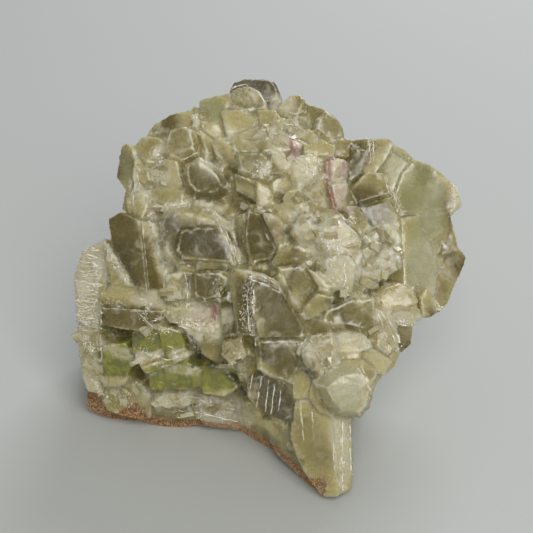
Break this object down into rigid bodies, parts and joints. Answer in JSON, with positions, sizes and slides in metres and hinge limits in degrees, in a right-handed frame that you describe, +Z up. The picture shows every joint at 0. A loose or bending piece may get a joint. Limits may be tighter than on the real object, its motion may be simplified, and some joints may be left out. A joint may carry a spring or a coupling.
{
  "type": "halite crystal cluster",
  "caption": "Cluster of blocky, milky-clear olive-green crystals grown together, with a thin wing at one side and a rust-stained lower edge, cut off flat where it stood on rock.",
  "frame": {"origin": "on the floor, under the middle of the cluster's bounding box", "axes": "+Z up, +X towards the thin wing at the right as seen from the front, -Y towards the front that the picture shows"},
  "size_m": [0.1202, 0.0986, 0.0974],
  "materials": {
    "salt": "milky, see-through crystal with smooth glossy faces, frosted patches and a rust-stained lower edge"
  },
  "bodies": {
    "root": {"crystal_cluster": "salt"}
  },
  "joints": []
}
